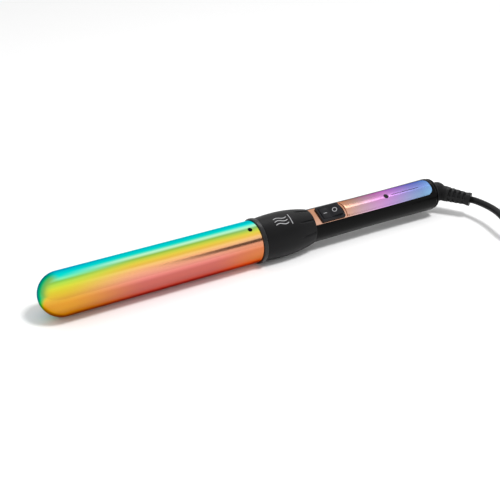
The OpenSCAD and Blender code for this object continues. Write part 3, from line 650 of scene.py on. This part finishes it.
def make_plug():
    """Two-blade plug with a ribbed strain relief and finger grips."""
    sections = []
    for k in range(RELIEF_RIBS):
        start = 0.4 + k * PLUG_RELIEF / RELIEF_RIBS * 0.94
        r = 3.3 + 1.7 * (k + 0.5) / RELIEF_RIBS
        sections += [
            (start, r - 0.5, r - 0.5, 2), (start + 0.15, r, r, 2), (start + 2.2, r + 0.1, r + 0.1, 2),
            (start + 2.35, r - 0.5, r - 0.5, 2),
        ]
    sections += [(PLUG_RELIEF - 0.6, 4.7, 4.7, 2), (PLUG_RELIEF, 5.6, 5.2, 2.2)]
    for k in range(1, 9):
        t = smooth(k / 8)
        power = 2.2 + 2.8 * t
        sections.append((PLUG_RELIEF + 0.4 + k, 5.6 + 4.4 * t, 5.2 + 1.1 * t, power))
    for k in range(4):
        base = PLUG_RELIEF + 11 + 2.4 * k
        grip = [(0, 10), (0.5, 9.3), (1.2, 9.3), (1.7, 10)]
        sections += [(base + ahead, half_w, 6.3, 5) for ahead, half_w in grip]
    end = PLUG_RELIEF + PLUG_LENGTH
    sections.append((end - 6, 10.4, 6.4, 5.5))
    for back, inset in ((4.5, 0), (0.8, 0), (0.2, 0.3), (0, 0.9)):
        sections.append((end - back, PLUG_HALF_W - inset, PLUG_HALF_T - inset, 6))
    place = Matrix.Translation(from_elbow((*TAIL[-1][:2], PLUG_HALF_T * MM)))
    plug = piece("plug", *loft(sections), "cord", ["plug_body"], place, sharp=40)
    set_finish(plug, "rubber_black")
    return plug


TIE_ANGLE = 135
TIE_HALF_W = 11.5
TIE_TOP = 12.1
TIE_T = 0.55
TIE_HALF_L = 3.0
TIE_EDGE = 0.18


def make_tie():
    """Closed strap of hook-and-loop tape round the coil, its edges bevelled."""
    turn = math.radians(TIE_ANGLE)
    centre = from_elbow((*COIL_CENTRE, 0))
    middle = COIL_OUTER - COIL_PITCH * (COIL_ROWS - 1) / 2
    spot = centre + Vector((math.cos(turn), math.sin(turn), 0)) * middle
    place = Matrix.Translation(spot) @ Matrix.Rotation(turn, 4, "Z")
    outer = superellipse(TIE_HALF_W, TIE_TOP / 2, 5, 64)
    inner = superellipse(TIE_HALF_W - TIE_T, TIE_TOP / 2 - TIE_T, 5, 64)
    between = [((a[0] + b[0]) / 2, (a[1] + b[1]) / 2) for a, b in zip(inner, outer)]
    side = TIE_HALF_L - TIE_EDGE
    rings = [
        [(u * MM, y * MM, (v + TIE_TOP / 2) * MM) for u, v in ring]
        for ring, y in (
            (inner, -side), (inner, side), (between, TIE_HALF_L),
            (outer, side), (outer, -side), (between, -TIE_HALF_L),
        )
    ]
    verts, faces = rings_mesh(rings, closed=True)
    tie = piece("coil_tie", verts, faces, "cord", ["cord_tie"], place)
    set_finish(tie, "tie")
    return tie


# ---------- barrel ----------
BARREL_SEAT = 2.2
BARREL_WALL = 1.2
HOLE_X = -6.8
HOLE_R = 1.8
SOCKET_ROWS = (2, 3)


def make_barrel():
    """Drawn tube with a round dome; its open end has a rolled edge, and a plain screw hole is cut through
    its wall.
    """
    def round_end(radius, angles):
        turns = [math.radians(angle) for angle in angles]
        return [(dome - radius * math.cos(turn), radius * math.sin(turn)) for turn in turns]

    dome = (DOME_X - RING_X) / MM
    r = BARREL_R / MM
    inner = r - BARREL_WALL
    outside = round_end(r, range(0, 89, 2)) + [(dome, r)]
    outside += [(dome - dome * k / 24, r) for k in range(1, 24)] + [(-0.15, r), (0, r - 0.15)]
    seat = [(0.02, r - 0.2), (BARREL_SEAT - 0.1, r - 0.2), (BARREL_SEAT, r - 0.4), (BARREL_SEAT, inner)]
    inside = [(dome, inner)] + round_end(inner, range(84, -1, -6))
    verts, faces = lathe(outside + seat + inside, 256)
    barrel = piece("barrel_tube", verts, faces, "wand", ["barrel"])
    drill = bpy.data.meshes.new("drill")
    cut = bmesh.new()
    bmesh.ops.create_cone(
        cut, cap_ends=True, segments=48, radius1=HOLE_R * MM, radius2=HOLE_R * MM, depth=6 * MM,
        matrix=ON_WAND @ Matrix.Translation((HOLE_X * MM, 0, (r - 0.5) * MM)),
    )
    cut.to_mesh(drill)
    cut.free()
    drill_object = added("drill", drill)
    hole = barrel.modifiers.new("hole", "BOOLEAN")
    hole.operation = "DIFFERENCE"
    hole.solver = "EXACT"
    hole.object = drill_object
    bake(barrel)
    bpy.data.objects.remove(drill_object)
    barrel.data.shade_smooth()
    barrel.data.set_sharp_from_angle(angle=math.radians(SHARP_FROM))
    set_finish(barrel, "barrel_coating")
    return barrel


def make_barrel_screw():
    """Button-head screw sunk in the barrel's hole, with a hexagon socket."""
    steps = 48
    r = HOLE_R - 0.1
    top = BARREL_R / MM - 0.35
    outline = [
        (0, top - 1.6), (0.35, top - 1.6), (0.95, top - 1.2), (0.97, top - 0.35), (1.15, top - 0.2),
        (1.4, top - 0.22), (r - 0.08, top - 0.4), (r, top - 0.6), (r, top - 2.2), (0, top - 2.2),
    ]
    rings = []
    for i, (radius, height) in enumerate(outline):
        ring = []
        for k in range(steps):
            angle = 2 * math.pi * k / steps
            corner = math.cos(math.pi / 6) / math.cos((angle % (math.pi / 3)) - math.pi / 6)
            reach = radius * (corner if i in SOCKET_ROWS else 1)
            ring.append(((HOLE_X + reach * math.cos(angle)) * MM, reach * math.sin(angle) * MM, height * MM))
        rings.append(ring)
    screw = piece("barrel_screw_head", *rings_mesh(rings, caps=False), "wand", ["barrel_screw"], sharp=30)
    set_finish(screw, "black_steel")
    return screw


# ---------- ring and collar ----------
RING_R = 17.2
RING_LEN = 3.5
COLLAR_R = 17.1
COLLAR_PEAK = 21
COLLAR_FRONT_DROP = 1
COLLAR_LIP_R = 13.45
COLLAR_EDGE = 0.5
COLLAR_STEPS = 120
NECK_R = 13.2
SHELF_R = 11.8
SHELF_X = 22.6
FLUTES = 9
FLUTE_START = 32
FLUTE_END = 47.5
FLUTE_DEPTH = 0.75
FLUTE_HALF = 1.3


def make_front_ring():
    """Moulded ring round the barrel's open end, its outer edges rounded."""
    inner, back, turned_in = BARREL_R / MM - 0.1, NECK_R + 0.1, 0.8
    outline = (
        [(BARREL_SEAT, back), (BARREL_SEAT, inner), (0.25, inner), (0.08, inner + 0.08), (0, inner + 0.25)]
        + arc((turned_in, RING_R - turned_in), turned_in, -90, 0, 8)
        + arc((RING_LEN - turned_in, RING_R - turned_in), turned_in, 0, 90, 8)
        + [(RING_LEN, back)]
    )
    ring = piece("front_ring_moulding", *lathe(outline, 192), "wand", ["front_ring"])
    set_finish(ring, "component_black")
    return ring


def collar_radius(station):
    """Radius of the collar's outside: two arcs that meet at its widest place."""
    ahead = station < COLLAR_PEAK
    run = COLLAR_PEAK - COLLAR_X / MM if ahead else COLLAR_END / MM - COLLAR_PEAK
    drop = COLLAR_FRONT_DROP if ahead else COLLAR_R - COLLAR_LIP_R
    bend = (run ** 2 / drop + drop) / 2
    return COLLAR_R - bend + math.sqrt(bend ** 2 - (station - COLLAR_PEAK) ** 2)


def flute_cut(station, radius, angle):
    """The outside's radius with its flutes, each steep on its upper side and running out to a point."""
    if radius < collar_radius(station) - 0.02 or not FLUTE_START < station < FLUTE_END:
        return radius
    along = (station - FLUTE_START) / (FLUTE_END - FLUTE_START)
    depth = FLUTE_DEPTH * smooth(along * 2.5) * (1 - smooth((along - 0.93) / 0.07))
    half = FLUTE_HALF * (0.35 + 0.65 * along)
    step = 2 * math.pi / FLUTES
    off = ((angle - step / 2) / step - round((angle - step / 2) / step)) * step * radius
    if not -half < off < half:
        return radius
    share = (off + half) / (2 * half)
    return radius - depth * (smooth(share / 0.16) if share < 0.16 else (1 - share) / 0.84)


def make_collar():
    """The fluted collar: its front edge cut back beside the ring, a shelf for the holder inside."""
    front, rear, edge = COLLAR_X / MM, COLLAR_END / MM, COLLAR_EDGE
    outside = [(front, NECK_R + 0.1), (front, collar_radius(front) - 1.1)]
    outside += [(front + 0.22, collar_radius(front) - 0.4), (front + edge, collar_radius(front + edge))]
    for k in range(1, COLLAR_STEPS):
        station = front + edge + (rear - front - 2 * edge) * k / COLLAR_STEPS
        outside.append((station, collar_radius(station)))
    outside += [(rear - edge, collar_radius(rear - edge)), (rear - 0.12, collar_radius(rear) - 0.1)]
    outside += [(rear, collar_radius(rear) - 0.35), (rear, SHELF_R)]
    outside += [(front + SHELF_X, SHELF_R), (front + SHELF_X, NECK_R + 0.1)]
    collar = piece("collar_moulding", *lathe(outside, 540, flute_cut), "wand", ["front_collar"], sharp=30)
    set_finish(collar, "satin_black")
    return collar


def on_surface(radius_at, station, angle, lift=0.0):
    """A point (station, angle from the top towards the near side, in degrees) on a turned surface."""
    turn = math.radians(angle)
    r = radius_at(station) + lift
    return (station * MM, -r * MM * math.sin(turn), r * MM * math.cos(turn))


def stroke(line, width, radius_at, lift=0.03):
    """A printed stroke: a thin ribbon along (station, angle) points that hugs a turned surface."""
    verts, faces = [], []
    for i, (s, a) in enumerate(line):
        s0, a0 = line[max(i - 1, 0)]
        s1, a1 = line[min(i + 1, len(line) - 1)]
        r = radius_at(s)
        run, rise = s1 - s0, math.radians(a1 - a0) * r
        size = math.hypot(run, rise)
        ends = 0.55 if i in (0, len(line) - 1) else 1
        ds, da = -rise / size * width / 2 * ends, math.degrees(run / size * width / 2 * ends / r)
        for level in (lift, -0.1):
            verts.append(on_surface(radius_at, s + ds, a + da, level))
            verts.append(on_surface(radius_at, s - ds, a - da, level))
        if i:
            b, c = 4 * (i - 1), 4 * i
            faces += [(b, b + 1, c + 1, c), (b + 2, c + 2, c + 3, b + 3), (b, c, c + 2, b + 2)]
            faces.append((b + 1, b + 3, c + 3, c + 1))
    last = len(verts) - 4
    faces += [(0, 2, 3, 1), (last, last + 1, last + 3, last + 2)]
    return verts, faces


def joined(parts):
    """The vertices and faces of several meshes as one."""
    verts, faces = [], []
    for more_verts, more_faces in parts:
        base = len(verts)
        verts += more_verts
        faces += [tuple(base + i for i in face) for face in more_faces]
    return verts, faces


HEAT_MARK = (19.5, 0.5)
HEAT_STROKE = 0.6


def make_heat_mark():
    """Generic printed sign for a hot tool: three waves rising from a bar."""
    middle, turn = HEAT_MARK
    wave_len, wave_apart, wave_swing, bar_ahead, bar_turn = 11, 9, 2.6, 8, 32
    strokes = []
    for side in (-1, 0, 1):
        line = []
        for k in range(25):
            t = k / 24
            swing = wave_swing * math.sin(2 * math.pi * t)
            line.append((middle + wave_len / 2 - wave_len * t, turn + side * wave_apart + swing))
        strokes.append(stroke(line, HEAT_STROKE, collar_radius))
    bar = [(middle + bar_ahead, turn - bar_turn / 2 + bar_turn * k / 16) for k in range(17)]
    strokes.append(stroke(bar, HEAT_STROKE, collar_radius))
    mark = piece("heat_mark", *joined(strokes), "wand")
    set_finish(mark, "mark_white")
    return mark


# ---------- handle, inlay and switch ----------
HANDLE_START = 48.3
HANDLE_R = 12.9
HANDLE_WAIST = 0.45
WAIST_X = 107.65
WAIST_FLAT = 12
INLAY_PROUD = 0.15
INLAY_T = 0.9
INLAY_CORNER = 5
POCKET_Z = 10.2
POCKET_SLOPE = 1.5
BEZEL_X = 65.3
BEZEL_HALF = (10.4, 7)


def handle_radius(station):
    """Radius of the handle's outside, slimmest over a flat stretch at its waist."""
    slope = WAIST_X - WAIST_FLAT - HANDLE_START
    share = max(0.0, abs(station - WAIST_X) - WAIST_FLAT) / slope
    return HANDLE_R - HANDLE_WAIST * (1 - min(1.0, share))


def inlay_point(station, y, sink):
    """A point of the plate's outside, sunk below it by the last value."""
    r = handle_radius(station) + INLAY_PROUD - sink
    return (station * MM, y * MM, math.sqrt(r * r - y * y) * MM)


def make_inlay():
    """Curved plate let into the handle, its rim bevelled and its rear corners round."""
    rim = [(0.55, 0), (0.38, 0.03), (0.2, 0.12), (0.06, 0.28), (0, 0.45), (0, INLAY_T)]
    edge = rim[0][0]
    columns, steps = 28, 60
    corner = INLAY_END - INLAY_CORNER
    rows = [(POCKET_END + distance, sink) for distance, sink in rim[::-1]]
    rows += [
        (POCKET_END + edge + (corner - POCKET_END - edge) * k / steps, 0) for k in range(1, steps + 1)
    ]
    rings = []

    def row(spots, base_sink):
        """spots gives station and half width at a distance in from the edge."""
        line = []
        for distance, sink in rim[::-1]:
            s, half = spots(distance)
            line.append(inlay_point(s, -half, max(sink, base_sink)))
        s, half = spots(edge)
        for k in range(1, columns):
            line.append(inlay_point(s, half * (2 * k / columns - 1), base_sink))
        for distance, sink in rim:
            s, half = spots(distance)
            line.append(inlay_point(s, half, max(sink, base_sink)))
        return line

    for s, sink in rows:
        rings.append(row(lambda d, s=s: (s, INLAY_HALF - d), sink))
    for k in range(1, 13):
        turn = math.radians(90 * k / 12)
        rings.append(row(
            lambda d, a=turn: (
                corner + (INLAY_CORNER - d) * math.sin(a),
                INLAY_HALF - INLAY_CORNER + (INLAY_CORNER - d) * math.cos(a),
            ), 0,
        ))
    for distance, sink in rim[1:]:
        rings.append(row(
            lambda d, e=distance: (corner + INLAY_CORNER - min(d, e), INLAY_HALF - INLAY_CORNER), sink
        ))
    front = rings[0]
    for k in range(6):
        turn = math.radians(90 * k / 6)
        rings.insert(k, [
            (x - POCKET_SLOPE * MM * math.cos(turn), y, POCKET_Z * MM + (z - POCKET_Z * MM) * math.sin(turn))
            for x, y, z in front
        ])
    width = len(rings[0])
    verts = [p for ring in rings for p in ring]
    faces = [
        (i * width + k, i * width + k + 1, (i + 1) * width + k + 1, (i + 1) * width + k)
        for i in range(len(rings) - 1) for k in range(width - 1)
    ]
    plate = piece("inlay_skin", verts, faces, "wand", ["inlay_plate"], sharp=50)
    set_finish(plate, "inlay")
    return plate


def make_pocket_floor():
    """Flat polished frame round the switch, with a fine bevel along its outer edges and a plain hole for the
    bezel.
    """
    bevel, under, start = 0.2, 0.5, 0.02
    outline = ((HANDLE_START + start, -INLAY_HALF), (POCKET_END + start, INLAY_HALF))
    hole = (
        (BEZEL_X - BEZEL_HALF[0] + under, -BEZEL_HALF[1] + under),
        (BEZEL_X + BEZEL_HALF[0] - under, BEZEL_HALF[1] - under),
    )
    loops = []
    for corners, inset, z in (
        (outline, 0, POCKET_Z - INLAY_T), (outline, 0, POCKET_Z - bevel), (outline, bevel, POCKET_Z),
        (hole, 0, POCKET_Z), (hole, 0, POCKET_Z - INLAY_T),
    ):
        (x0, y0), (x1, y1) = corners
        x0, y0, x1, y1 = x0 + inset, y0 + inset, x1 - inset, y1 - inset
        side = [(x0, y0), (x1, y0), (x1, y1), (x0, y1)]
        ring = []
        for k in range(4):
            a, b = side[k], side[(k + 1) % 4]
            ring += [(a[0] + (b[0] - a[0]) * t / 10, a[1] + (b[1] - a[1]) * t / 10, z) for t in range(10)]
        loops.append([(x * MM, y * MM, z * MM) for x, y, z in ring])
    floor = piece("switch_pocket", *rings_mesh(loops, closed=True), "wand", ["inlay_plate"], sharp=25)
    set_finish(floor, "inlay")
    return floor


def make_plate_mark():
    """Generic sign on the plate: a round dot and a plain line."""
    def skin(station):
        return handle_radius(station) + INLAY_PROUD

    dot_x, dot_r, line_x, line_len, line_w, steps = 117.5, 2.2, 122.5, 27, 0.5, 40
    rings = []
    for r, lift in ((0.0, 0.16), (0.9, 0.16), (1.7, 0.14), (2.05, 0.08), (dot_r, -0.1)):
        ring = []
        for k in range(steps):
            a = 2 * math.pi * k / steps
            angle = math.degrees(r * math.sin(a) / skin(dot_x))
            ring.append(on_surface(skin, dot_x + r * math.cos(a), angle, lift))
        rings.append(ring)
    dot = rings_mesh(rings, caps=False)
    line = stroke([(line_x + line_len * k / 30, 0) for k in range(31)], line_w, skin)
    mark = piece("plate_mark", *joined([dot, line]), "wand")
    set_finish(mark, "switch_black")
    return mark


def make_switch():
    """The switch's bezel and its rocker."""
    bezel = softened("switch_bezel", "switch_housing", "wand", 0.35, 3)
    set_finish(bezel, "switch_black")
    rocker = softened("rocker_key", "switch_rocker", "rocker", 0.18, 2)
    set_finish(rocker, "switch_black")


# ---------- finish ----------
def paint(materials):
    """Each CAD node takes its record slot's finish, and each new piece the slot it names."""
    slots = {sub["node"]: sub["material_slot"] for sub in frame["record"]["subparts"]}
    for name, obj in frame["nodes"].items():
        if obj.type == "MESH":
            for i in range(len(obj.material_slots)):
                obj.material_slots[i].material = materials[slots[name]]
    for obj in bpy.context.scene.objects:
        if "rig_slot" in obj:
            obj.data.materials.clear()
            obj.data.materials.append(materials[obj["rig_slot"]])


TABLE_HALF = 4.0
FLAG_X = (0.235, 0.5)
FLAG_Y = -0.597
FLAG_Z = (0.25, 0.47)
KEY_PLACE = (0.38, -0.5, 1.3)
KEY_SIZE = 0.3
KEY_POWER = 13
FILL = 0.79
MIRRORED = 1.0


def make_floor():
    """Seamless white table."""
    half = TABLE_HALF
    mesh = bpy.data.meshes.new("table")
    corners = [(-half, -half, 0), (half, -half, 0), (half, half, 0), (-half, half, 0)]
    mesh.from_pydata(corners, [], [(0, 1, 2, 3)])
    table = added("table", mesh)
    tree = Tree("table_white", Roughness=0.9, Specular_IOR_Level=0.1)
    clouds = tree.noise(tree.place(), 3)
    tree.feed(tree.shader, {"Base Color": tree.mix(clouds, (0.9, 0.9, 0.9, 1), (0.92, 0.92, 0.92, 1))})
    mesh.materials.append(tree.material)


def make_flag():
    """Black card beside the camera: the dark line that the barrel mirrors near its ring."""
    mesh = bpy.data.meshes.new("flag")
    (x0, x1), (z0, z1) = FLAG_X, FLAG_Z
    corners = [(x0, FLAG_Y, z0), (x1, FLAG_Y, z0), (x1, FLAG_Y, z1), (x0, FLAG_Y, z1)]
    mesh.from_pydata(corners, [], [(0, 1, 2, 3)])
    flag = added("flag", mesh)
    flag.visible_camera = flag.visible_diffuse = False
    flag.visible_shadow = flag.visible_transmission = False
    mesh.materials.append(moulded("flag_cloth", "020202", "040404", 0.9, 0.0))


def area_light(name, place, target, size, power):
    """A flat rectangular light that faces its target."""
    lamp = bpy.data.lights.new(name, "AREA")
    lamp.shape = "RECTANGLE"
    lamp.size, lamp.size_y = size
    lamp.energy = power
    light = added(name, lamp)
    light.location = place
    light.rotation_euler = (Vector(target) - light.location).to_track_quat("-Z", "Y").to_euler()
    return light


def make_strip(name, place, size, power, pieces):
    """A strip light from behind that only the given pieces catch, for their highlights."""
    strip = area_light(name, place, (0.05, 0, 0), size, power)
    lit = bpy.data.collections.new(name)
    for obj in pieces:
        lit.objects.link(obj)
    strip.light_linking.receiver_collection = lit


def make_light():
    """One soft box above the wand's handle and in front of it, and an even white surround."""
    box = area_light("soft_box", KEY_PLACE, (0, 0, 0), (KEY_SIZE, KEY_SIZE), KEY_POWER)
    box.visible_glossy = False
    world = bpy.data.worlds.new("surround")
    world.use_nodes = True
    nodes, links = world.node_tree.nodes, world.node_tree.links
    background = nodes["Background"]
    background.inputs["Color"].default_value = (1, 1, 1, 1)
    path = nodes.new("ShaderNodeLightPath")
    seen = nodes.new("ShaderNodeMath")
    seen.operation = "MAXIMUM"
    level = nodes.new("ShaderNodeMapRange")
    level.inputs["To Min"].default_value = FILL
    level.inputs["To Max"].default_value = MIRRORED
    links.new(path.outputs["Is Glossy Ray"], seen.inputs[0])
    links.new(path.outputs["Is Camera Ray"], seen.inputs[1])
    links.new(seen.outputs[0], level.inputs["Value"])
    links.new(level.outputs[0], background.inputs["Strength"])
    bpy.context.scene.world = world


def make_camera():
    """The photo's view, with plain tones."""
    lens = bpy.data.cameras.new("camera")
    lens.lens = LENS
    lens.sensor_width = 36
    lens.clip_start = 0.01
    camera = added("camera", lens)
    camera.location = ON_AXIS @ CAMERA_FROM_RING
    camera.rotation_euler = (math.radians(90 - CAMERA_DIP), 0, math.radians(-CAMERA_TURN))
    bpy.context.scene.camera = camera
    bpy.context.scene.view_settings.view_transform = "Standard"


make_camera()
make_light()
make_floor()
cord, cord_exit, cord_length = make_cord()
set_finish(cord, "rubber_black")
plug = make_plug()
blades = softened("plug_pins", "plug_blades", "cord", 0.35, 2)
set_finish(blades, "steel")
relief = softened("cord_strain_relief", "strain_relief", "cord", 0.3, 3)
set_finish(relief, "rubber_black")
tie = make_tie()
elbow = softened("swivel_knuckle", "swivel_elbow", "cord", 0.4, 3)
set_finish(elbow, "satin_black")
make_barrel()
make_barrel_screw()
ring = make_front_ring()
collar = make_collar()
make_heat_mark()
inlay = make_inlay()
make_pocket_floor()
make_plate_mark()
make_switch()
cap = softened("handle_cap", "end_cap", "wand", 0.25, 2)
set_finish(cap, "satin_black")
paint(make_materials())
make_flag()
shells = [frame["nodes"]["handle_upper"], frame["nodes"]["handle_lower"]]
blacks = [ring, collar, cap, elbow, relief] + shells
make_strip("inlay_strip", place=(0.62, 0.14, 1.0), size=(0.45, 0.16), power=0.8, pieces=[inlay])
make_strip("rear_strip", place=(0.3, 0.42, 0.95), size=(1.2, 0.35), power=4.5, pieces=blacks)
